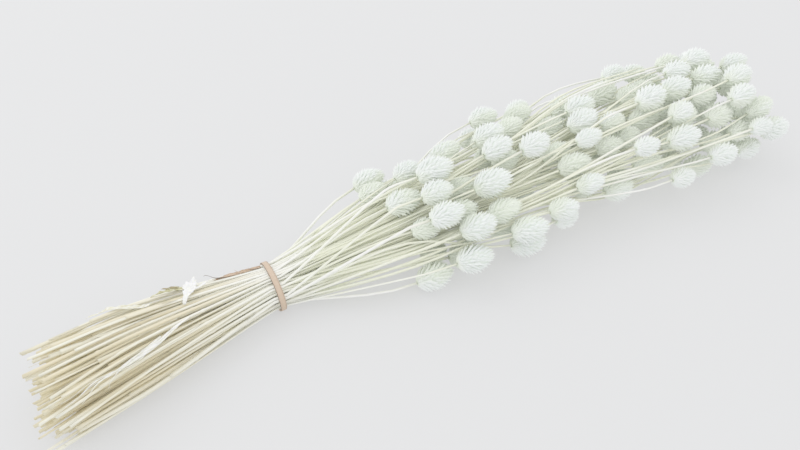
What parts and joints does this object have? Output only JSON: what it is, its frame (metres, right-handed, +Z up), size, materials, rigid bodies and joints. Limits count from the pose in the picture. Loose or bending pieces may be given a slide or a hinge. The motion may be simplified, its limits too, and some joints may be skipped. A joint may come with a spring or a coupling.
{
  "type": "dried canary grass bunch",
  "caption": "Bunch of dried canary grass lying on its side, pale stems tied at the waist by a rubber band, scaly oval heads at one end.",
  "frame": {"origin": "on the surface that the bunch lies on, under the middle of its bounding box", "axes": "+X along the bunch from the cut ends towards the heads, +Y across it, +Z up from the surface"},
  "size_m": [0.6326, 0.1522, 0.0831],
  "materials": {
    "culm": "matte",
    "rubber": "satin",
    "brown_leaf": "matte",
    "white_leaf": "matte",
    "olive_leaf": "matte"
  },
  "bodies": {
    "root": {"culms_01": "culm", "culms_02": "culm", "culms_03": "culm", "culms_04": "culm", "culms_05": "culm", "culms_06": "culm", "culms_07": "culm", "culms_08": "culm", "culms_09": "culm", "culms_10": "culm", "culms_11": "culm", "culms_12": "culm", "culms_13": "culm", "culms_14": "culm", "culms_15": "culm", "culms_16": "culm", "culms_17": "culm", "culms_18": "culm", "culms_19": "culm", "culms_20": "culm", "culms_21": "culm", "culms_22": "culm", "culms_23": "culm", "culms_24": "culm", "culms_25": "culm", "culms_26": "culm", "culms_27": "culm", "culms_28": "culm", "culms_29": "culm", "culms_30": "culm", "culms_31": "culm", "culms_32": "culm", "culms_33": "culm", "culms_34": "culm", "culms_35": "culm", "culms_36": "culm", "culms_37": "culm", "culms_38": "culm", "culms_39": "culm", "culms_40": "culm", "culms_41": "culm", "culms_42": "culm", "culms_43": "culm", "culms_44": "culm", "culms_45": "culm", "culms_46": "culm", "culms_47": "culm", "culms_48": "culm", "culms_49": "culm", "culms_50": "culm", "rubber_band": "rubber", "brown_sheath": "brown_leaf", "white_leaf": "white_leaf", "olive_leaf": "olive_leaf", "pale_blade": "white_leaf", "frayed_leaf": "white_leaf"}
  },
  "joints": []
}
